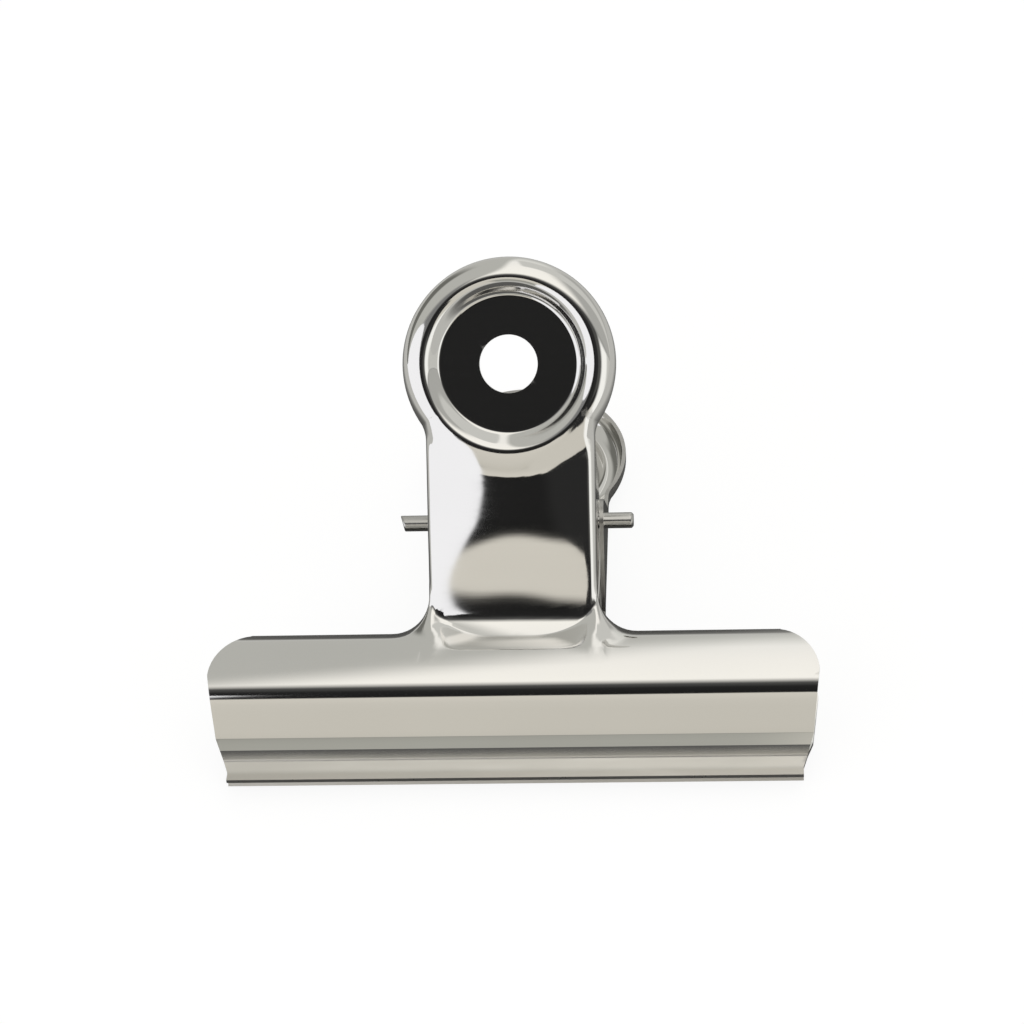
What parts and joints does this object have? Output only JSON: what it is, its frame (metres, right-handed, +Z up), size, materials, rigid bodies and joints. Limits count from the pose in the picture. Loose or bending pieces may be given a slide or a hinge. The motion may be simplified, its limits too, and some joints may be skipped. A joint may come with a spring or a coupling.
{
  "type": "bulldog clip",
  "caption": "Sprung paper clip of bright pressed steel: round cupped handles with a hanging hole, a channel neck hinged on a pin, and a wide bulged jaw with flared lips.",
  "frame": {"origin": "under the middle of the clip's box, on the surface that the clip lies on", "axes": "+X along the hinge pin, +Y towards the handles, +Z up, with the clip lying on its back plate"},
  "size_m": [0.075, 0.0648, 0.0429],
  "materials": {
    "plate_nickel": "bright nickel plate",
    "pin_steel": "drawn steel",
    "spring_steel": "drawn spring wire"
  },
  "bodies": {
    "back": {"back_plate": "plate_nickel", "hinge_pin": "pin_steel", "torsion_spring": "spring_steel"},
    "front": {"front_plate": "plate_nickel"}
  },
  "joints": [
    {"name": "jaw_hinge", "type": "hinge", "parent": "back", "child": "front", "pos_m": [0, 0.00001, 0.01333], "axis": [-1, 0, 0], "range_deg": [0, 48], "stiffness_Nm_per_rad": 0.35, "springref_deg": -34.38, "deforming": ["torsion_spring"]}
  ]
}
